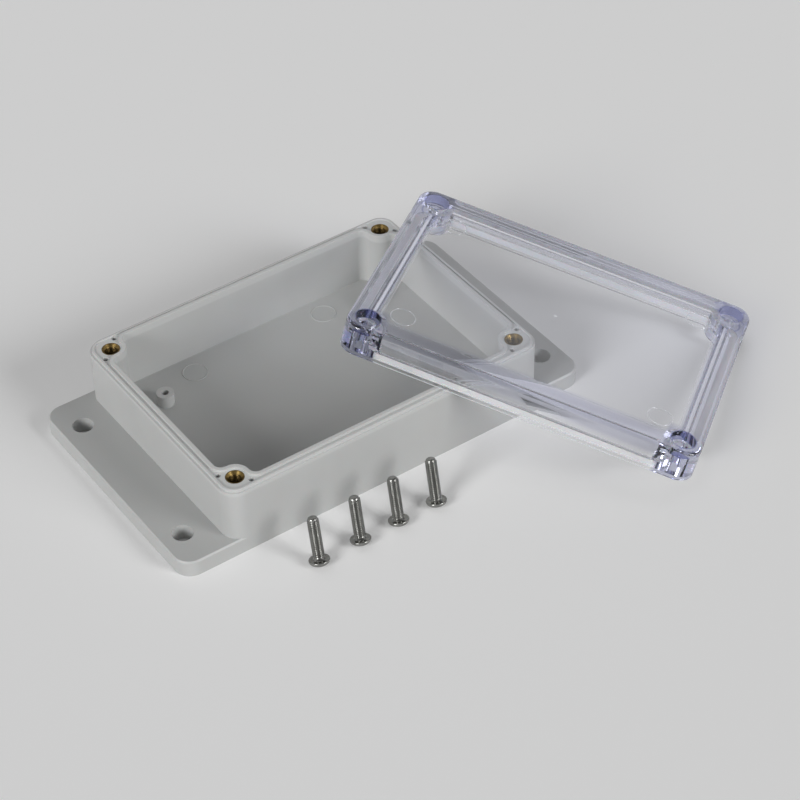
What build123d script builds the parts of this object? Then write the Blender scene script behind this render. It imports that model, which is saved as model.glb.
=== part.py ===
from build123d import *
import os
from math import asin, cos, radians, sin, sqrt

# Plastic junction box with wall flanges, its clear lid taken off and leaning on the open base.
# Millimetres. X runs along the flanges, Y from the near long wall to the far one, Z up.
# The origin is the centre of the base's underside.

# Base outline
base_length = 158
body_length = 122
body_width = 90
corner_radius = 6
flange_thickness = 6
flange_corner_radius = 6
flange_edge_chamfer = 0.5
wall_hole_radius = 3.6
wall_hole_inset_x = 8
wall_hole_inset_y = 13.5

# Base inside
floor_top = 5
foot_width = 2.8
foot_height = 2.2
flange_skin = 2.6
flange_rim = 2.4
wall_hole_boss_radius = 6
standoff_inset_x = 18.6
standoff_inset_y = 19.2
standoff_radius = 3
standoff_height = 4.6
pilot_radius = 1.25
pilot_depth = 5.4

# Rim of the base, as insets from the outer face and heights above the floor it stands on
bead_outer = 0.8
bead_inner = 1.6
ridge_middle = 3.15
ridge_width = 1.3
ledge_top = 25.4
land_top = 26.2
bead_top = 26.5
ridge_top = 27
rim_hole_radius = 0.9
rim_hole_depth = 4
rim_hole_outboard = 4
rim_hole_along = 3.6

# Cover screws and the brass inserts that take them
insert_inset_x = 6.7
insert_inset_y = 6.8
insert_radius = 3.1
insert_length = 8
insert_mouth = 0.8
pillar_radius = 5.05
screw_radius = 1.95
screw_length = 15
head_radius = 3.5
head_height = 2
crown_chamfer = 1.7
thread_clearance = 0.05
screw_end_clearance = 2

# Where the cover screws stand on the edges of their crowns, and the slopes at which they lean
screw_row_y = -64
screw_row_x = (-40.7, -25, -10.2, 4.7)
screw_lean_x = 0.054
screw_lean_y = 0.287

# Lid and its seal, as insets from the outer face and heights above the lid's lower edge
lid_height = 11.2
lid_panel = 3
lid_edge_radius = 1.5
lip_width = 0.9
cove_radius = 4.2
head_clearance = 0.7
screw_hole_clearance = 0.3
counterbore_depth = 3.4
gasket_width = 2.4
gasket_thickness = 2.2
gasket_squeeze = 0.5
gasket_side_clearance = 0.15
skirt_gap = 0.1
bead_side_clearance = 0.1
bead_top_clearance = 0.15

# How the lid leans: where its lip crosses the near and right rims, and its turn between them
lean_near = 35.3
lean_right = 67.8
lean_turn = radians(26.9)
rest_gap = 0.3

# Sizes that follow from the ones above
ridge_outer = ridge_middle - ridge_width / 2
wall_inset = ridge_middle + ridge_width / 2
insert_spacing_x = body_length - 2 * insert_inset_x
insert_spacing_y = body_width - 2 * insert_inset_y
wall_hole_spacing_x = base_length - 2 * wall_hole_inset_x
wall_hole_spacing_y = body_width - 2 * wall_hole_inset_y
standoff_spacing_x = body_length - 2 * standoff_inset_x
standoff_spacing_y = body_width - 2 * standoff_inset_y
bend_margin = 0.1
insert_bore_radius = screw_radius + thread_clearance
screw_hole_radius = screw_radius + screw_hole_clearance
counterbore_radius = head_radius + head_clearance
closed_level = ledge_top + skirt_gap
lid_ceiling = lid_height - lid_panel
skirt_inset = bead_outer - bead_side_clearance
rebate_height = bead_top - closed_level + bead_top_clearance
gasket_outer = ridge_middle - gasket_width / 2
gasket_inner = ridge_middle + gasket_width / 2
gasket_low = ridge_top - closed_level - gasket_squeeze
gasket_high = gasket_low + gasket_thickness
groove_outer = gasket_outer - gasket_side_clearance
groove_inner = gasket_inner + gasket_side_clearance
lip_inner = groove_inner + lip_width
lid_notch_radius = pillar_radius + lip_inner - wall_inset
screw_end_level = closed_level + lid_height - counterbore_depth - screw_length
screw_hole_depth = land_top - screw_end_level + screw_end_clearance


def seal_outline(inset):
    # One outline of the family that the ridge, gasket, groove and lip share. It runs parallel
    # to the outer face at the given inset and steps inward round each cover screw.
    notch_radius = pillar_radius + inset - wall_inset
    bend_radius = min(insert_inset_x, insert_inset_y) - inset - bend_margin
    with BuildSketch(mode=Mode.PRIVATE) as outline:
        Rectangle(body_length - 2 * inset, insert_spacing_y - 2 * notch_radius)
        Rectangle(insert_spacing_x - 2 * notch_radius, body_width - 2 * inset)
        fillet(outline.vertices().sort_by_distance((0, 0, 0))[4:], bend_radius)
        fillet(outline.vertices().sort_by_distance((0, 0, 0))[:4], notch_radius)
    return outline.sketch


# The lid rests on three points: its lip on the near ridge, its lip on the right ridge,
# and its far right corner on the floor. They fix the lid's plane.
near_contact = Vector(body_length / 2 - lean_near, ridge_outer - body_width / 2, ridge_top)
right_contact = Vector(body_length / 2 - ridge_outer, lean_right - body_width / 2, ridge_top)
contact_span = (right_contact - near_contact).length
contact_line = (right_contact - near_contact).normalized()
level_across = Vector(-contact_line.Y, contact_line.X, 0)
lip_near_y = lip_inner - body_width / 2
lip_left_x = lip_inner - body_length / 2
boss_reach_y = lip_near_y + contact_span * cos(lean_turn) - insert_spacing_y / 2
if abs(boss_reach_y) < lid_notch_radius:
    boss_reach_x = sqrt(lid_notch_radius**2 - boss_reach_y**2)
    lip_left_x = max(lip_left_x, boss_reach_x - insert_spacing_x / 2)
lip_near_x = lip_left_x + contact_span * sin(lean_turn)
corner_reach_x = (body_length / 2 - corner_radius - lip_near_x) * cos(lean_turn)
corner_reach_y = (body_width / 2 - corner_radius - lip_near_y) * sin(lean_turn)
lid_tilt = asin(ridge_top / (corner_reach_x + corner_reach_y + corner_radius))
uphill = level_across * cos(lid_tilt) + Vector(0, 0, 1) * sin(lid_tilt)
lid_x = (contact_line * sin(lean_turn) + uphill * cos(lean_turn)) * -1
lid_y = contact_line * cos(lean_turn) - uphill * sin(lean_turn)
lid_z = lid_x.cross(lid_y)
lid_origin = near_contact - lid_x * lip_near_x - lid_y * lip_near_y + lid_z * rest_gap
lid_plane = Plane(origin=lid_origin, x_dir=lid_x, z_dir=lid_z)
lid_axis = Axis(lid_origin, lid_z)

os.makedirs("parts", exist_ok=True)

# Base: flanges, walls, sealing rim, screw pillars and circuit board stand-offs in one moulding
with BuildPart() as base:
    with BuildSketch():
        RectangleRounded(base_length, body_width, flange_corner_radius)
    extrude(amount=flange_thickness)
    chamfer(base.edges().group_by(Axis.Z)[-1], flange_edge_chamfer)
    with BuildSketch():
        RectangleRounded(body_length, body_width, corner_radius)
    extrude(amount=ledge_top)

    # Rim: outer ledge, bead, flat land and sealing ridge
    with BuildSketch(Plane.XY.offset(ledge_top)):
        RectangleRounded(
            body_length - 2 * bead_outer, body_width - 2 * bead_outer, corner_radius - bead_outer
        )
    extrude(amount=bead_top - ledge_top)
    with BuildSketch(Plane.XY.offset(land_top)):
        RectangleRounded(
            body_length - 2 * bead_inner, body_width - 2 * bead_inner, corner_radius - bead_inner
        )
    extrude(amount=bead_top - land_top, mode=Mode.SUBTRACT)
    with BuildSketch(Plane.XY.offset(land_top)):
        add(seal_outline(ridge_outer))
    extrude(amount=ridge_top - land_top)

    # Inside
    with BuildSketch(Plane.XY.offset(floor_top)):
        add(seal_outline(wall_inset))
    extrude(amount=ridge_top - floor_top, mode=Mode.SUBTRACT)

    # Stand-offs for a circuit board
    with BuildSketch(Plane.XY.offset(floor_top)):
        with GridLocations(standoff_spacing_x, standoff_spacing_y, 2, 2):
            Circle(standoff_radius)
    extrude(amount=standoff_height)
    with BuildSketch(Plane.XY.offset(floor_top + standoff_height)):
        with GridLocations(standoff_spacing_x, standoff_spacing_y, 2, 2):
            Circle(pilot_radius)
    extrude(amount=-pilot_depth, mode=Mode.SUBTRACT)

    # Seats for the brass inserts, with room below for the ends of the screws
    with BuildSketch(Plane.XY.offset(land_top)):
        with GridLocations(insert_spacing_x, insert_spacing_y, 2, 2):
            Circle(insert_radius)
    extrude(amount=-insert_length, mode=Mode.SUBTRACT)
    with BuildSketch(Plane.XY.offset(land_top)):
        with GridLocations(insert_spacing_x, insert_spacing_y, 2, 2):
            Circle(screw_hole_radius)
    extrude(amount=-screw_hole_depth, mode=Mode.SUBTRACT)

    # Two small blind holes in the land beside each insert
    rim_hole_places = []
    for side_x in (-1, 1):
        for side_y in (-1, 1):
            insert_x = side_x * insert_spacing_x / 2
            insert_y = side_y * insert_spacing_y / 2
            rim_hole_places += [
                (insert_x + side_x * rim_hole_outboard, insert_y - side_y * rim_hole_along),
                (insert_x - side_x * rim_hole_along, insert_y + side_y * rim_hole_outboard),
            ]
    with BuildSketch(Plane.XY.offset(land_top)):
        with Locations(rim_hole_places):
            Circle(rim_hole_radius)
    extrude(amount=-rim_hole_depth, mode=Mode.SUBTRACT)

    # Underside: a raised foot under the walls and cored flanges
    with BuildSketch():
        RectangleRounded(
            body_length - 2 * foot_width, body_width - 2 * foot_width, corner_radius - foot_width
        )
    extrude(amount=foot_height, mode=Mode.SUBTRACT)
    with BuildSketch():
        RectangleRounded(
            base_length - 2 * flange_rim, body_width - 2 * flange_rim,
            flange_corner_radius - flange_rim,
        )
        Rectangle(body_length, body_width, mode=Mode.SUBTRACT)
        with GridLocations(wall_hole_spacing_x, wall_hole_spacing_y, 2, 2):
            Circle(wall_hole_boss_radius, mode=Mode.SUBTRACT)
    extrude(amount=flange_thickness - flange_skin, mode=Mode.SUBTRACT)

    # Wall fixing holes
    with BuildSketch():
        with GridLocations(wall_hole_spacing_x, wall_hole_spacing_y, 2, 2):
            Circle(wall_hole_radius)
    extrude(amount=flange_thickness, mode=Mode.SUBTRACT)

base.part.label = "base"
export_step(base.part, "parts/base.step")

# Threaded brass inserts, flush with the land and coned at the mouth
for corner, side_x, side_y in (
    ("near_left", -1, -1),
    ("near_right", 1, -1),
    ("far_left", -1, 1),
    ("far_right", 1, 1),
):
    insert_plane = Plane((side_x * insert_spacing_x / 2, side_y * insert_spacing_y / 2, land_top))
    with BuildPart() as insert:
        with BuildSketch(insert_plane):
            Circle(insert_radius)
            Circle(insert_bore_radius, mode=Mode.SUBTRACT)
        extrude(amount=-insert_length)
        mouth = insert.edges().filter_by_position(Axis.Z, land_top, land_top)
        chamfer(mouth.sort_by(SortBy.RADIUS)[0], insert_mouth)
    insert.part.label = f"insert_{corner}"
    export_step(insert.part, f"parts/insert_{corner}.step")

# Hollow of the lid: coved under the panel and notched round the screw bosses
with BuildPart() as lid_hollow:
    with BuildSketch(lid_plane):
        Rectangle(body_length - 2 * lip_inner, body_width - 2 * lip_inner)
    extrude(amount=lid_ceiling)
    fillet(lid_hollow.edges().group_by(lid_axis)[-1], cove_radius)
    with BuildSketch(lid_plane):
        add(seal_outline(lip_inner))
    extrude(amount=lid_ceiling, mode=Mode.INTERSECT)

# Clear lid, resting askew with its open side down
with BuildPart() as lid:
    with BuildSketch(lid_plane):
        RectangleRounded(body_length, body_width, corner_radius)
    extrude(amount=lid_height)
    fillet(lid.edges().group_by(lid_axis)[-1], lid_edge_radius)
    add(lid_hollow.part, mode=Mode.SUBTRACT)

    # Rebate over the bead of the base, and the groove that holds the gasket
    with BuildSketch(lid_plane):
        RectangleRounded(
            body_length - 2 * skirt_inset, body_width - 2 * skirt_inset, corner_radius - skirt_inset
        )
        add(seal_outline(groove_outer), mode=Mode.SUBTRACT)
    extrude(amount=rebate_height, mode=Mode.SUBTRACT)
    with BuildSketch(lid_plane):
        add(seal_outline(groove_outer))
        add(seal_outline(groove_inner), mode=Mode.SUBTRACT)
    extrude(amount=gasket_high, mode=Mode.SUBTRACT)

    # Counterbored screw holes
    with BuildSketch(lid_plane):
        with GridLocations(insert_spacing_x, insert_spacing_y, 2, 2):
            Circle(screw_hole_radius)
    extrude(amount=lid_height, mode=Mode.SUBTRACT)
    with BuildSketch(lid_plane.offset(lid_height)):
        with GridLocations(insert_spacing_x, insert_spacing_y, 2, 2):
            Circle(counterbore_radius)
    extrude(amount=-counterbore_depth, mode=Mode.SUBTRACT)

lid.part.label = "lid"
export_step(lid.part, "parts/lid.step")

# Gasket, seated on the roof of the lid's groove
with BuildPart() as gasket:
    with BuildSketch(lid_plane.offset(gasket_low)):
        add(seal_outline(gasket_outer))
        add(seal_outline(gasket_inner), mode=Mode.SUBTRACT)
    extrude(amount=gasket_thickness)
gasket.part.label = "lid_gasket"
export_step(gasket.part, "parts/lid_gasket.step")

# Cover screws, taken out and stood on their heads in a row in front of the base
screw_axis = Vector(screw_lean_x, screw_lean_y, 1).normalized()
crown_radius = head_radius - crown_chamfer
crown_level = crown_radius * sqrt(1 - screw_axis.Z**2)
for number, screw_x in enumerate(screw_row_x, 1):
    crown_plane = Plane(origin=(screw_x, screw_row_y, crown_level), z_dir=screw_axis)
    with BuildPart() as screw:
        with BuildSketch(crown_plane):
            Circle(head_radius)
        extrude(amount=head_height)
        chamfer(screw.edges().group_by(Axis(crown_plane.origin, screw_axis))[0], crown_chamfer)
        with BuildSketch(crown_plane.offset(head_height)):
            Circle(screw_radius)
        extrude(amount=screw_length)
    screw.part.label = f"cover_screw_{number}"
    export_step(screw.part, f"parts/cover_screw_{number}.step")
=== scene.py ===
import math

import bmesh
import bpy
from mathutils import Matrix, Vector


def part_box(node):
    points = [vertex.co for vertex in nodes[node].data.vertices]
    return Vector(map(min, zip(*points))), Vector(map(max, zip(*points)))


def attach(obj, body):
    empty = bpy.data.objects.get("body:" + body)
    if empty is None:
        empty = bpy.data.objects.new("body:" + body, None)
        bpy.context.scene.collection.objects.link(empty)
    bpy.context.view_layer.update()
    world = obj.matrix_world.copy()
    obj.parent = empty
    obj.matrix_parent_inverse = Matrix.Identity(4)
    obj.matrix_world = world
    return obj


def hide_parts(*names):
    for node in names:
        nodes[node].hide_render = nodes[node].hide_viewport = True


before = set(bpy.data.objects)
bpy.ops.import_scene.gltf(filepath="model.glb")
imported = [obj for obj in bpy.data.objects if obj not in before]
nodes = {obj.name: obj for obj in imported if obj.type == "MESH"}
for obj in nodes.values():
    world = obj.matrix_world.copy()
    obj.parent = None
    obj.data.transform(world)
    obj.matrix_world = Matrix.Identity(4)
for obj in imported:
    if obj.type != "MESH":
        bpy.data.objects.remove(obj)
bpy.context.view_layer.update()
MM = 0.001
CORNERS = ("near_left", "near_right", "far_left", "far_right")
CORNER_SIDES = ((-1, -1), (1, -1), (-1, 1), (1, 1))


def put(name, data):
    """A new object of the scene."""
    made = bpy.data.objects.new(name, data)
    bpy.context.scene.collection.objects.link(made)
    return made


# Camera at the photograph's viewpoint: its axes, its place in metres and its lens in millimetres
RIGHT = Vector((0.81611819, -0.57766200, -0.01605318))
DOWN = Vector((-0.39326733, -0.53482310, -0.74786701))
FORWARD = Vector((0.42342874, 0.61666106, -0.66365446))
EYE = Vector((-0.33261, -0.53545, 0.56020))
SENSOR_WIDTH = 36
FOCAL_LENGTH = 112.33
CLIP_NEAR = 0.01
CLIP_FAR = 50
camera_data = bpy.data.cameras.new("camera")
camera_data.sensor_width = SENSOR_WIDTH
camera_data.lens = FOCAL_LENGTH
camera_data.clip_start = CLIP_NEAR
camera_data.clip_end = CLIP_FAR
camera = put("camera", camera_data)
facing = Matrix((RIGHT, -DOWN, -FORWARD)).transposed().to_4x4()
camera.matrix_world = Matrix.Translation(EYE) @ facing
bpy.context.scene.camera = camera

# Polygons are taken as one flat face where their levels agree to 0.1 mm and their normals to 0.01
LEVEL_DIGITS = 1
NORMAL_DIGITS = 2


def largest_face_place(node):
    """A node's largest flat face: its centre, its long side as X and its outward normal as Z."""
    mesh = node.data
    faces = {}
    for polygon in mesh.polygons:
        level = polygon.center.dot(polygon.normal) / MM
        normal = (round(part, NORMAL_DIGITS) for part in polygon.normal)
        key = (round(level, LEVEL_DIGITS), *normal)
        faces.setdefault(key, []).append(polygon)
    top = max(faces.values(), key=lambda polygons: sum(p.area for p in polygons))
    up = sum((p.normal * p.area for p in top), Vector()).normalized()
    uses = {}
    for polygon in top:
        for key in polygon.edge_keys:
            uses[key] = uses.get(key, 0) + 1
    outline = [edge for edge, count in uses.items() if count == 1]
    sides = [mesh.vertices[b].co - mesh.vertices[a].co for a, b in outline]
    long = max(sides, key=lambda side: side.length)
    long = (long - up * long.dot(up)).normalized()
    across = up.cross(long)
    points = [mesh.vertices[i].co for p in top for i in p.vertices]
    centre = up * points[0].dot(up)
    for axis in (long, across):
        reach = [point.dot(axis) for point in points]
        centre = centre + axis * (min(reach) + max(reach)) / 2
    return Matrix.Translation(centre) @ Matrix((long, across, up)).transposed().to_4x4()


# Places in the box, in millimetres from the middle of its underside. Each pair is where a change
# of the material begins and where it is complete.
INSIDE_X = (56.8, 57.2)
INSIDE_Y = (40.8, 41.2)
FLOOR_BELOW = (4.0, 4.6)
FLOOR_ABOVE = (5.2, 6.2)
# The next two spans: where painted shade on the low faces that look up fades out, and where
# painted light on the rim fades in
SHADED_LOW_TOPS = (6.2, 7.5)
RIM_PAINTED_LIGHT = (23.8, 24.6)
RIM_EDGE = (24.5, 25.2)

# Places in the lid, in millimetres from the middle of its top: the inner edge of the cove under
# the panel, the depth at which the cove ends, the outer walls, the inner sides of the bosses, the
# middles of the counterbores, and the radii at which the counterbores' tint begins and ends
COVE_EDGE_X = 51.4
COVE_EDGE_Y = 35.4
COVE_BOTTOM = 7.6
RIM_BLEND = 1.6
LID_WALL_X = 60.8
LID_WALL_Y = 44.8
WALL_BLEND = 0.15
BOSS_X = 47.5
BOSS_Y = 31.5
COUNTERBORE_X = 54.3
COUNTERBORE_Y = 38.2
COUNTERBORE_INSIDE = (3.85, 4.05)
COUNTERBORE_OUTSIDE = (4.45, 4.7)
lid_place = largest_face_place(nodes["lid"])


def add_node(tree, kind, inputs=(), **settings):
    """A node with its inputs, each a value or a socket to link, and its settings."""
    made = tree.nodes.new(kind)
    for key, value in settings.items():
        setattr(made, key, value)
    for key, value in dict(inputs).items():
        if isinstance(value, bpy.types.NodeSocket):
            tree.links.new(value, made.inputs[key])
        else:
            made.inputs[key].default_value = value
    return made


class Shader:
    """A Principled material whose nodes are added a few at a time."""

    def __init__(self, name):
        self.material = bpy.data.materials.new(name)
        self.material.use_nodes = True
        self.tree = self.material.node_tree
        self.principled = self.tree.nodes["Principled BSDF"]

    def set(self, **values):
        for key, value in values.items():
            self.principled.inputs[key.replace("_", " ")].default_value = value

    def node(self, kind, inputs=(), **settings):
        return add_node(self.tree, kind, inputs, **settings)

    def link(self, output, key):
        self.tree.links.new(output, self.principled.inputs[key])

    def place(self):
        return self.node("ShaderNodeTexCoord").outputs["Object"]

    def noise(self, scale, detail=2.0, roughness=0.5, stretch=None):
        place = self.place()
        if stretch:
            inputs = {"Vector": place, "Scale": stretch}
            place = self.node("ShaderNodeMapping", inputs).outputs[0]
        return self.node(
            "ShaderNodeTexNoise",
            {"Vector": place, "Scale": scale, "Detail": detail, "Roughness": roughness},
        ).outputs["Fac"]

    def ramp(self, value, low, high, out_low, out_high):
        inputs = {0: value, 1: low, 2: high, 3: out_low, 4: out_high}
        return self.node("ShaderNodeMapRange", inputs).outputs[0]

    def beyond(self, value, span):
        """0 before a span in millimetres and 1 beyond it."""
        return self.ramp(value, span[0] * MM, span[1] * MM, 0.0, 1.0)

    def before(self, value, span):
        """1 before a span in millimetres and 0 beyond it."""
        return self.ramp(value, span[0] * MM, span[1] * MM, 1.0, 0.0)

    def spread(self, value, low, high):
        """A noise value stretched so that low becomes 0 and high becomes 1."""
        return self.ramp(value, low, high, 0.0, 1.0)

    def math(self, operation, a, b=0.0):
        return self.node("ShaderNodeMath", {0: a, 1: b}, operation=operation).outputs[0]

    def product(self, *factors):
        whole = factors[0]
        for factor in factors[1:]:
            whole = self.math("MULTIPLY", whole, factor)
        return whole

    def mix(self, factor, a, b):
        inputs = {0: factor, 6: a, 7: b}
        return self.node("ShaderNodeMix", inputs, data_type="RGBA").outputs[2]

    def mix_value(self, factor, a, b):
        inputs = {0: factor, 2: a, 3: b}
        return self.node("ShaderNodeMix", inputs, data_type="FLOAT").outputs[0]

    def bump(self, height, strength, distance, normal=None):
        inputs = {"Height": height, "Strength": strength, "Distance": distance}
        if normal is not None:
            inputs["Normal"] = normal
        return self.node("ShaderNodeBump", inputs).outputs[0]


def srgb(red, green, blue):
    """The linear colour of 8-bit sRGB values."""

    def linear(value):
        value /= 255
        return value / 12.92 if value <= 0.04045 else ((value + 0.055) / 1.055) ** 2.4

    return (linear(red), linear(green), linear(blue), 1.0)


def clothe(target, material):
    target.data.materials.clear()
    target.data.materials.append(material)


# Light grey moulded ABS: fine grain on the walls, a smooth and glossier floor inside the box. The
# low faces that look up get painted shade and the rim gets painted light.
PLASTIC = srgb(193, 194, 193)
PLASTIC_CLOUD = srgb(199, 200, 199)
PLASTIC_STREAK = srgb(187, 187, 185)
PLASTIC_PAINTED_SHADE = srgb(183, 184, 183)
PLASTIC_PAINTED_LIGHT = srgb(207, 208, 207)


def moulded_plastic():
    s = Shader("moulded_abs")
    s.set(IOR=1.53, Subsurface_Weight=0.05, Subsurface_Scale=0.001)
    x, y, height = s.node("ShaderNodeSeparateXYZ", {0: s.place()}).outputs
    floor = s.product(
        s.before(s.math("ABSOLUTE", x), INSIDE_X),
        s.before(s.math("ABSOLUTE", y), INSIDE_Y),
        s.before(height, FLOOR_ABOVE),
        s.beyond(height, FLOOR_BELOW),
    )
    cloud = s.noise(26, 3, 0.55)
    streak = s.noise(60, 2, 0.5, (1.0, 1.0, 0.15))
    tone = s.mix(s.spread(cloud, 0.3, 0.7), PLASTIC, PLASTIC_CLOUD)
    tone = s.mix(s.ramp(streak, 0.45, 0.8, 0.0, 0.3), tone, PLASTIC_STREAK)
    normal = s.node("ShaderNodeTexCoord").outputs["Normal"]
    upward = s.node("ShaderNodeSeparateXYZ", {0: normal}).outputs["Z"]
    # Painted shade: low faces that look up are darkened
    low = s.product(s.spread(upward, 0.8, 0.98), s.before(height, SHADED_LOW_TOPS))
    tone = s.mix(low, tone, PLASTIC_PAINTED_SHADE)
    # Painted light: the rim is made paler
    s.link(s.mix(s.beyond(height, RIM_PAINTED_LIGHT), tone, PLASTIC_PAINTED_LIGHT), "Base Color")
    grain = s.noise(5200, 2, 0.6)
    rough = s.ramp(grain, 0.3, 0.7, 0.36, 0.5)
    smooth = s.ramp(cloud, 0.3, 0.7, 0.13, 0.19)
    s.link(s.mix_value(floor, rough, smooth), "Roughness")
    edge_radius = s.mix_value(s.beyond(height, RIM_EDGE), 0.12 * MM, 0.3 * MM)
    softened = s.node("ShaderNodeBevel", {"Radius": edge_radius}, samples=6).outputs[0]
    waviness = s.bump(s.noise(45, 2), 0.05, 0.6 * MM, softened)
    grain_strength = s.mix_value(floor, 0.1, 0.0)
    s.link(s.bump(grain, grain_strength, 0.06 * MM, waviness), "Normal")
    return s.material


# Clear polycarbonate. Lamps and soft light pass straight through, so that what lies below keeps
# an even, faint shadow. Given the lid's place, it turns violet towards the thick cove and the
# bosses, the walls of the counterbores get a deep violet that is partly painted shade, and the
# whole lid absorbs a little warm light.
CLEAR = (0.985, 0.988, 1.0, 1.0)
CLEAR_SHADOW = (0.952, 0.954, 0.962, 1.0)
VIOLET_COVE = (0.75, 0.76, 0.87, 1.0)
VIOLET_BOSS = (0.66, 0.675, 0.81, 1.0)
VIOLET_BORE_AND_SHADE = (0.24, 0.26, 0.54, 1.0)
ABSORPTION = (0.81, 0.825, 0.94, 1.0)
ABSORPTION_DENSITY = 36.0


def lid_tint(s, lid_place):
    """The clear plastic's colour at each point of the lid."""
    from_centre = s.node(
        "ShaderNodeVectorMath", {0: s.place(), 1: lid_place.translation}, operation="SUBTRACT"
    )
    along_x, along_y, height = (
        s.node(
            "ShaderNodeVectorMath",
            {0: from_centre.outputs[0], 1: lid_place.col[column].to_3d()},
            operation="DOT_PRODUCT",
        ).outputs["Value"]
        for column in range(3)
    )
    reach_x, reach_y = s.math("ABSOLUTE", along_x), s.math("ABSOLUTE", along_y)

    def beyond_x_or_y(start_x, start_y, blend):
        past_x = s.beyond(reach_x, (start_x, start_x + blend))
        past_y = s.beyond(reach_y, (start_y, start_y + blend))
        return s.math("MAXIMUM", past_x, past_y)

    cove = s.product(
        beyond_x_or_y(COVE_EDGE_X, COVE_EDGE_Y, RIM_BLEND),
        s.beyond(height, (-COVE_BOTTOM, RIM_BLEND - COVE_BOTTOM)),
        s.math("SUBTRACT", 1.0, beyond_x_or_y(LID_WALL_X, LID_WALL_Y, WALL_BLEND)),
    )
    boss = s.product(
        s.beyond(reach_x, (BOSS_X, BOSS_X + RIM_BLEND)),
        s.beyond(reach_y, (BOSS_Y, BOSS_Y + RIM_BLEND)),
    )
    aside_x = s.math("SUBTRACT", reach_x, COUNTERBORE_X * MM)
    aside_y = s.math("SUBTRACT", reach_y, COUNTERBORE_Y * MM)
    aside = s.math("ADD", s.product(aside_x, aside_x), s.product(aside_y, aside_y))
    aside = s.math("SQRT", aside)
    past_inside, past_outside = (
        s.beyond(aside, span) for span in (COUNTERBORE_INSIDE, COUNTERBORE_OUTSIDE)
    )
    # The counterbore walls get the violet tint deepened by painted shade
    bore = s.math("SUBTRACT", past_inside, past_outside)
    tone = s.mix(boss, s.mix(cove, CLEAR, VIOLET_COVE), VIOLET_BOSS)
    return s.mix(bore, tone, VIOLET_BORE_AND_SHADE)


def clear_plastic(name, lid_place=None):
    s = Shader(name)
    s.set(IOR=1.585, Base_Color=CLEAR, Transmission_Weight=1.0)
    flow = s.noise(22, 2, 0.5, (1.0, 0.35, 1.0))
    s.link(s.bump(flow, 0.008, 1.0 * MM), "Normal")
    s.link(s.ramp(s.noise(160, 3, 0.6), 0.35, 0.75, 0.006, 0.03), "Roughness")
    path = s.node("ShaderNodeLightPath").outputs
    clear = s.node("ShaderNodeBsdfTransparent", {"Color": CLEAR_SHADOW}).outputs[0]
    soft = s.node(
        "ShaderNodeMixShader", {0: path["Is Diffuse Ray"], 1: s.principled.outputs[0], 2: clear}
    ).outputs[0]
    lit = s.node("ShaderNodeMixShader", {0: path["Is Shadow Ray"], 1: soft, 2: clear}).outputs[0]
    output = s.tree.nodes["Material Output"]
    s.tree.links.new(lit, output.inputs["Surface"])
    if lid_place:
        s.link(lid_tint(s, lid_place), "Base Color")
        inputs = {"Color": ABSORPTION, "Density": ABSORPTION_DENSITY}
        tint = s.node("ShaderNodeVolumeAbsorption", inputs)
        s.tree.links.new(tint.outputs[0], output.inputs["Volume"])
    return s.material


# White silicone, soft and slightly translucent
def silicone():
    s = Shader("white_silicone")
    s.set(IOR=1.41, Subsurface_Weight=0.2, Subsurface_Scale=0.0015, Sheen_Weight=0.15)
    patch = s.spread(s.noise(80, 3), 0.3, 0.7)
    s.link(s.mix(patch, srgb(232, 232, 230), srgb(243, 243, 242)), "Base Color")
    s.link(s.ramp(s.noise(900, 2), 0.3, 0.7, 0.45, 0.6), "Roughness")
    s.link(s.bump(s.noise(1500, 2), 0.1, 0.08 * MM), "Normal")
    return s.material


# Brass of the inserts, dull and a little darkened
def brass(name, light, dark):
    s = Shader(name)
    s.set(Metallic=1.0)
    stain = s.spread(s.noise(700, 4, 0.6), 0.35, 0.7)
    s.link(s.mix(stain, light, dark), "Base Color")
    turned = s.noise(1200, 3, 0.5, (1.0, 1.0, 6.0))
    s.link(s.ramp(turned, 0.3, 0.7, 0.24, 0.42), "Roughness")
    s.link(s.bump(turned, 0.15, 0.05 * MM), "Normal")
    return s.material


# Stainless steel of the screws
def stainless():
    s = Shader("stainless_steel")
    s.set(Metallic=1.0)
    patch = s.spread(s.noise(500, 3), 0.3, 0.7)
    s.link(s.mix(patch, srgb(132, 132, 129), srgb(158, 158, 155)), "Base Color")
    drawn = s.noise(2600, 3, 0.5, (1.0, 1.0, 0.2))
    s.link(s.ramp(drawn, 0.3, 0.7, 0.12, 0.24), "Roughness")
    s.link(s.bump(drawn, 0.06, 0.03 * MM), "Normal")
    return s.material


# Frosted scar where the moulding gate was broken off
def gate_scar():
    s = Shader("gate_scar")
    speck = s.spread(s.noise(2400, 3), 0.35, 0.65)
    s.link(s.mix(speck, srgb(224, 226, 236), srgb(248, 248, 252)), "Base Color")
    s.link(s.ramp(speck, 0.0, 1.0, 0.35, 0.7), "Roughness")
    s.link(s.bump(speck, 0.5, 0.1 * MM), "Normal")
    return s.material


abs_material = moulded_plastic()
clear_material = clear_plastic("clear_polycarbonate", lid_place)
fine_clear_material = clear_plastic("clear_polycarbonate_detail")
brass_material = brass("insert_brass", srgb(140, 118, 72), srgb(98, 81, 47))
# The thread lining is painted darker than the insert: painted shade inside the deep bores
shaded_thread_brass_material = brass("insert_thread_brass_painted_shade", srgb(98, 81, 49), srgb(54, 44, 26))
steel_material = stainless()

clothe(nodes["base"], abs_material)
clothe(nodes["lid"], clear_material)
clothe(nodes["lid_gasket"], silicone())
for corner in CORNERS:
    clothe(nodes["insert_" + corner], brass_material)


def into_object(name, mesh):
    """A new object with a finished bmesh."""
    data = bpy.data.meshes.new(name)
    mesh.to_mesh(data)
    mesh.free()
    return put(name, data)


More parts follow.
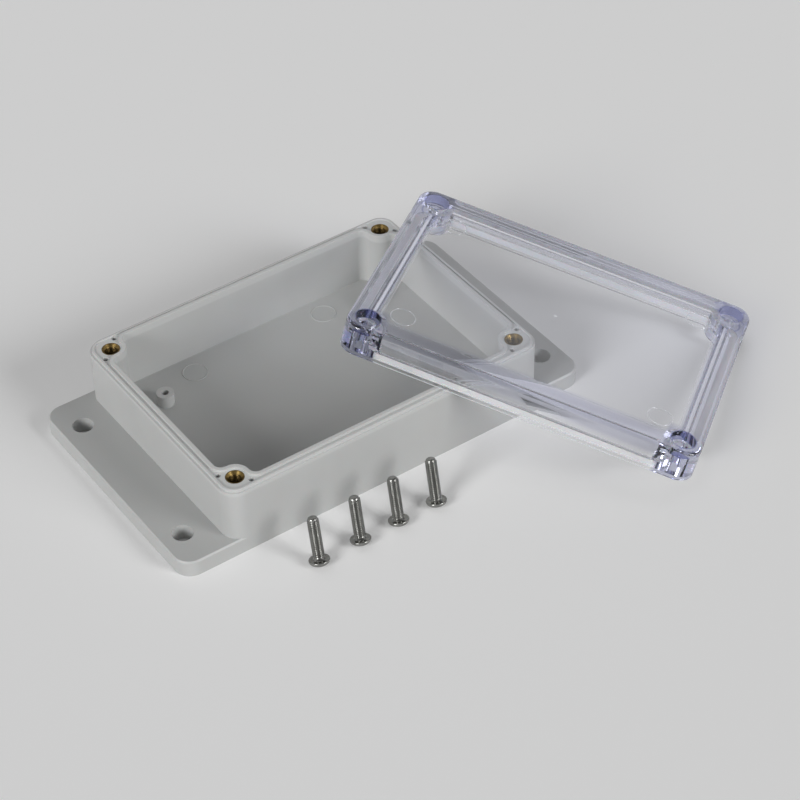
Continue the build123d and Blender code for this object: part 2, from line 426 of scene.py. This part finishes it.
# Every surface is a skin through rings of points, in millimetres. An edge that bends by more than
# sharp degrees is shaded as an edge.
def skin(name, rings, cap_start=False, cap_end=False, around=False, sharp=35):
    mesh = bmesh.new()
    rows = [[mesh.verts.new(Vector(p) * MM) for p in ring] for ring in rings]
    follow = rows[1:] + rows[:1] if around else rows[1:]
    for a, b in zip(rows, follow):
        for j in range(len(a)):
            k = (j + 1) % len(a)
            mesh.faces.new((a[j], a[k], b[k], b[j]))
    if cap_start:
        mesh.faces.new(list(reversed(rows[0])))
    if cap_end:
        mesh.faces.new(rows[-1])
    bmesh.ops.recalc_face_normals(mesh, faces=mesh.faces)
    for face in mesh.faces:
        face.smooth = True
    for edge in mesh.edges:
        if len(edge.link_faces) == 2 and edge.calc_face_angle(0) > math.radians(sharp):
            edge.smooth = False
    return into_object(name, mesh)


def round_point(radius, turn, z):
    """A point at a radius and at a share of a full turn round the vertical axis."""
    return (radius * math.cos(turn * math.tau), radius * math.sin(turn * math.tau), z)


def plain_ring(radius, z, segments=48):
    return [round_point(radius, j / segments, z) for j in range(segments)]


def bead_section(width, height, steps=6):
    """Half a rounded bead: offsets across the line and heights above its base."""
    bends = [math.pi * i / steps for i in range(steps + 1)]
    return [(-width / 2 * math.cos(bend), height * math.sin(bend)) for bend in bends]


def bead_circle(name, radius, width, height, segments=72):
    section = bead_section(width, height)
    rings = [
        [round_point(radius + across, j / segments, up) for across, up in section]
        for j in range(segments)
    ]
    return skin(name, rings, around=True, sharp=80)


def bead_line(name, length, width, height):
    rings = [
        [(x, across, up) for across, up in bead_section(width, height)]
        for x in (-length / 2, length / 2)
    ]
    return skin(name, rings, True, True, sharp=80)


# Threads: a helical surface swept round a vertical axis
PITCH = 0.7
SHARP_METAL = 50


def thread_rings(low, high, root, crest, runout, steps=10, segments=48):
    """Rings of points with the thread's radius at each angle, fading out at both ends."""
    rings = []
    count = int(round((high - low) / PITCH * steps))
    for i in range(count + 1):
        z = low + (high - low) * i / count
        fade = max(0.0, min(1.0, (z - low) / runout, (high - z) / runout))
        ring = []
        for j in range(segments):
            turn = j / segments
            swell = 0.5 - 0.5 * math.cos((z / PITCH - turn) * math.tau)
            ring.append(round_point(root + (crest - root) * swell * fade, turn, z))
        rings.append(ring)
    return rings


# Cover screws: domed pan head with a cross recess, and a threaded shank. They are built with the
# crown at z = 0 and the shank upwards.
HEAD_HEIGHT = 2.0
HEAD_RADIUS = 3.5
SCREW_HEIGHT = 17.0
SCREW_CREST = 1.95
SCREW_ROOT = 1.56
DOME_FLAT = 1.1
DOME_HEIGHT = 1.6
DOME_STEPS = 10
# Rounded rim of the head: steps in from its radius, with drops from its flat side
RIM_STEPS = ((0.0, 0.24), (0.04, 0.12), (0.12, 0.04), (0.24, 0.0), (0.34, 0.0))
# Rounded neck: steps out from the thread's crest, with rises above the flat side
NECK_STEPS = ((0.36, 0.0), (0.3, 0.0), (0.1, 0.06), (-0.06, 0.24))
# Shank: where the thread starts above the flat side and ends below the tip, and the tip's bevel
THREAD_START = 0.6
THREAD_END = 0.4
THREAD_RUNOUT = 0.5
TIP_DROP = 0.2
TIP_BEVEL = 0.3
# Cross recess: height, half length and half width of a wedge at its mouth and at its end
RECESS_MOUTH = (-0.3, 1.8, 0.38)
RECESS_END = (1.45, 0.75, 0.22)
# Turn of each screw about its own axis, in degrees
SCREW_TURNS = (15, 70, 130, 200)


def screw_blank():
    rings = [plain_ring(radius, 0) for radius in (0.4, DOME_FLAT - 0.1, DOME_FLAT)]
    for i in range(1, DOME_STEPS + 1):
        bend = math.pi / 2 * i / DOME_STEPS
        reach = DOME_FLAT + (HEAD_RADIUS - DOME_FLAT) * math.sin(bend)
        rings.append(plain_ring(reach, DOME_HEIGHT * (1 - math.cos(bend))))
    rings += [plain_ring(HEAD_RADIUS - step, HEAD_HEIGHT - drop) for step, drop in RIM_STEPS]
    rings += [plain_ring(SCREW_CREST + step, HEAD_HEIGHT + rise) for step, rise in NECK_STEPS]
    rings.append(plain_ring(SCREW_ROOT + 0.06, HEAD_HEIGHT + THREAD_START - 0.1))
    low, high = HEAD_HEIGHT + THREAD_START, SCREW_HEIGHT - THREAD_END
    rings += thread_rings(low, high, SCREW_ROOT, SCREW_CREST, THREAD_RUNOUT)
    rings += [
        plain_ring(SCREW_ROOT - 0.04, SCREW_HEIGHT - TIP_DROP),
        plain_ring(SCREW_ROOT - TIP_BEVEL, SCREW_HEIGHT),
        plain_ring(0.5, SCREW_HEIGHT),
    ]
    return skin("screw_blank", rings, True, True, sharp=SHARP_METAL)


def cross_cutter():
    """Two crossed wedges that taper towards the bottom of the recess."""
    mesh = bmesh.new()
    for turn in (0, math.pi / 2):
        corners = []
        for z, long, wide in (RECESS_MOUTH, RECESS_END):
            for side_x, side_y in ((-1, -1), (1, -1), (1, 1), (-1, 1)):
                point = Matrix.Rotation(turn, 3, "Z") @ Vector((side_x * long, side_y * wide, z))
                corners.append(mesh.verts.new(point * MM))
        low, high = corners[:4], corners[4:]
        mesh.faces.new(list(reversed(low)))
        mesh.faces.new(high)
        for i in range(4):
            mesh.faces.new((low[i], low[(i + 1) % 4], high[(i + 1) % 4], high[i]))
    return into_object("cross_cutter", mesh)


def screw_mesh():
    """The mesh of a whole screw, with the recess cut into its crown."""
    blank = screw_blank()
    cutter = cross_cutter()
    cut = blank.modifiers.new("recess", "BOOLEAN")
    cut.operation = "DIFFERENCE"
    cut.object = cutter
    cut.solver = "EXACT"
    cut.use_self = True
    bpy.context.view_layer.update()
    graph = bpy.context.evaluated_depsgraph_get()
    made = bpy.data.meshes.new_from_object(blank.evaluated_get(graph))
    made.name = "cover_screw"
    made.materials.clear()
    made.materials.append(steel_material)
    bpy.data.objects.remove(blank)
    bpy.data.objects.remove(cutter)
    return made


threaded = screw_mesh()
for number, turn in enumerate(SCREW_TURNS, 1):
    node = f"cover_screw_{number}"
    shape = threaded.copy()
    spin = Matrix.Rotation(math.radians(turn), 4, "Z")
    drop = Matrix.Translation((0, 0, -HEAD_HEIGHT * MM))
    shape.transform(largest_face_place(nodes[node]) @ spin @ drop)
    screw = put(f"threaded_screw_{number}", shape)
    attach(screw, f"screw_{number}")
    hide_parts(node)

# Threads inside the brass inserts, with levels in millimetres from the insert's top
BORE_RADIUS = 1.98
BORE_CREST = 1.64
BORE_TOP = -0.7
BORE_BOTTOM = -7.9
BORE_RUNOUT = 0.4
for corner in CORNERS:
    low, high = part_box("insert_" + corner)
    lining = skin(
        f"insert_thread_{corner}",
        thread_rings(BORE_BOTTOM, BORE_TOP, BORE_RADIUS, BORE_CREST, BORE_RUNOUT),
        sharp=SHARP_METAL,
    )
    lining.location = ((low.x + high.x) / 2, (low.y + high.y) / 2, high.z)
    clothe(lining, shaded_thread_brass_material)
    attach(lining, "box")

# Rings that the ejector pins left on the floor of the box
FLOOR_TOP = 5
FLOOR_RING_X = 26.3
FLOOR_RING_Y = 33.3
FLOOR_RING_RADIUS = 4.3
FLOOR_RING_WIDTH = 0.4
FLOOR_RING_HEIGHT = 0.2
for corner, (side_x, side_y) in zip(CORNERS, CORNER_SIDES):
    name = f"floor_ring_{corner}"
    ring = bead_circle(name, FLOOR_RING_RADIUS, FLOOR_RING_WIDTH, FLOOR_RING_HEIGHT)
    ring.location = Vector((side_x * FLOOR_RING_X, side_y * FLOOR_RING_Y, FLOOR_TOP)) * MM
    clothe(ring, abs_material)
    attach(ring, "box")


# Fine marks of the clear lid: ejector rings and the edge of the cove on its ceiling, and the
# gate's scar in the middle of its top
LID_PANEL = 3
CEILING_GAP = 0.01
LID_RING_X = 44.7
LID_RING_Y = 29.5
LID_RING_RADIUS = 4.2
LID_RING_WIDTH = 0.36
LID_RING_HEIGHT = 0.16
COVE_LINE_WIDTH = 0.26
COVE_LINE_HEIGHT = 0.1
COVE_RUN_X = 96.6
COVE_RUN_Y = 64.4
face_down = Matrix.Rotation(math.pi, 4, "X")


def onto_ceiling(piece, x, y, turn=0):
    """Lays a piece, built base down, against the underside of the lid's panel."""
    spot = Matrix.Translation(Vector((x, y, -LID_PANEL - CEILING_GAP)) * MM)
    piece.matrix_world = lid_place @ spot @ Matrix.Rotation(turn, 4, "Z") @ face_down
    clothe(piece, fine_clear_material)
    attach(piece, "cover")


for corner, (side_x, side_y) in zip(CORNERS, CORNER_SIDES):
    ring = bead_circle(f"lid_ring_{corner}", LID_RING_RADIUS, LID_RING_WIDTH, LID_RING_HEIGHT)
    onto_ceiling(ring, side_x * LID_RING_X, side_y * LID_RING_Y)
for name, x, y, run, turn in (
    ("near", 0, -COVE_EDGE_Y, COVE_RUN_X, 0),
    ("far", 0, COVE_EDGE_Y, COVE_RUN_X, 0),
    ("left", -COVE_EDGE_X, 0, COVE_RUN_Y, math.pi / 2),
    ("right", COVE_EDGE_X, 0, COVE_RUN_Y, math.pi / 2),
):
    line = bead_line(f"lid_cove_edge_{name}", run, COVE_LINE_WIDTH, COVE_LINE_HEIGHT)
    onto_ceiling(line, x, y, turn)

# The scar's outline is ragged and flattened, and shrinks as it rises
SCAR_RADIUS = 0.8
SCAR_POINTS = 14
SCAR_RAGGED = 0.35
SCAR_WAVE = 2.4
SCAR_FLATTENED = 0.7
SCAR_STEPS = ((1.0, 0.0), (0.7, 0.06), (0.35, 0.11), (0.1, 0.12))
scar_rings = []
for share, up in SCAR_STEPS:
    ring = []
    for j in range(SCAR_POINTS):
        radius = SCAR_RADIUS * share * (1 + SCAR_RAGGED * math.sin(j * SCAR_WAVE) * share)
        x, y, z = round_point(radius, j / SCAR_POINTS, up)
        ring.append((x, SCAR_FLATTENED * y, z))
    scar_rings.append(ring)
scar = skin("lid_gate_scar", scar_rings, True, True)
scar.matrix_world = lid_place
clothe(scar, gate_scar())
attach(scar, "cover")

# Floor: pale to the eye, and a little darker to the light that it throws back at the object
FLOOR_PALE = (0.95, 0.95, 0.95, 1.0)
FLOOR_BOUNCE = (0.6, 0.6, 0.6, 1.0)
FLOOR_RADIUS = 6
bpy.ops.mesh.primitive_circle_add(vertices=96, radius=FLOOR_RADIUS, fill_type="NGON")
floor = bpy.context.object
floor.name = "floor"
floor_shader = Shader("pale_floor")
floor_shader.set(Roughness=0.9, Specular_IOR_Level=0.1)
path = floor_shader.node("ShaderNodeLightPath").outputs
seen = floor_shader.math("MAXIMUM", path["Is Transmission Ray"], path["Is Glossy Ray"])
seen = floor_shader.math("MAXIMUM", path["Is Camera Ray"], seen)
floor_shader.link(floor_shader.mix(seen, FLOOR_BOUNCE, FLOOR_PALE), "Base Color")
clothe(floor, floor_shader.material)

# Soft studio: a pale backdrop that turns greyer overhead, and even soft light. The backdrop is
# only seen, directly or in and through the pieces, and the even light lights.
BACKDROP_PALE = 0.74
BACKDROP_ZENITH = 0.16
BACKDROP_FALL = (0.3, 0.95)
AMBIENT = 0.175
WHITE = (1, 1, 1, 1)
world = bpy.data.worlds.new("studio")
bpy.context.scene.world = world
world.use_nodes = True
sky = world.node_tree
sky.nodes.clear()
path = add_node(sky, "ShaderNodeLightPath").outputs
seen = path["Is Camera Ray"]
for kind in ("Is Transmission Ray", "Is Glossy Ray"):
    inputs = {0: seen, 1: path[kind]}
    seen = add_node(sky, "ShaderNodeMath", inputs, operation="MAXIMUM").outputs[0]
heading = add_node(sky, "ShaderNodeTexCoord").outputs["Generated"]
height = add_node(sky, "ShaderNodeSeparateXYZ", {0: heading}).outputs["Z"]
low, high = BACKDROP_FALL
inputs = {0: height, 1: low, 2: high, 3: BACKDROP_PALE, 4: BACKDROP_ZENITH}
fall = add_node(sky, "ShaderNodeMapRange", inputs, interpolation_type="SMOOTHSTEP").outputs[0]
inputs = {"Color": WHITE, "Strength": AMBIENT}
ambient = add_node(sky, "ShaderNodeBackground", inputs).outputs[0]
inputs = {"Color": WHITE, "Strength": fall}
backdrop = add_node(sky, "ShaderNodeBackground", inputs).outputs[0]
choose = add_node(sky, "ShaderNodeMixShader", {0: seen, 1: ambient, 2: backdrop}).outputs[0]
add_node(sky, "ShaderNodeOutputWorld", {"Surface": choose})


def soft_sun(name, place, strength):
    """Light of one wide lamp, far enough away to fall evenly on the whole floor."""
    data = bpy.data.lights.new(name, "SUN")
    data.angle = math.radians(LAMP_WIDTH)
    data.energy = strength
    lamp = put(name, data)
    lamp.location = place
    lamp.rotation_mode = "QUATERNION"
    lamp.rotation_quaternion = (-Vector(place)).to_track_quat("-Z", "Y")


# Width of each lamp in degrees, then its name, its place in metres and its strength
LAMP_WIDTH = 25
LAMPS = (
    ("left", (-1.76, -0.45, 0.84), 1.78),
    ("right", (0.83, -1.66, 0.84), 1.44),
    ("top", (-0.16, 0.80, 2.0), 0.14),
)
for name, place, strength in LAMPS:
    soft_sun(name, place, strength)

# Enough bounces for light to find its way out of the clear rim
CLEAR_BOUNCES = 24
GLOSSY_BOUNCES = 8
cycles = bpy.context.scene.cycles
cycles.max_bounces = CLEAR_BOUNCES
cycles.transmission_bounces = CLEAR_BOUNCES
cycles.glossy_bounces = GLOSSY_BOUNCES
cycles.transparent_max_bounces = CLEAR_BOUNCES

bpy.context.scene.view_settings.view_transform = "Standard"
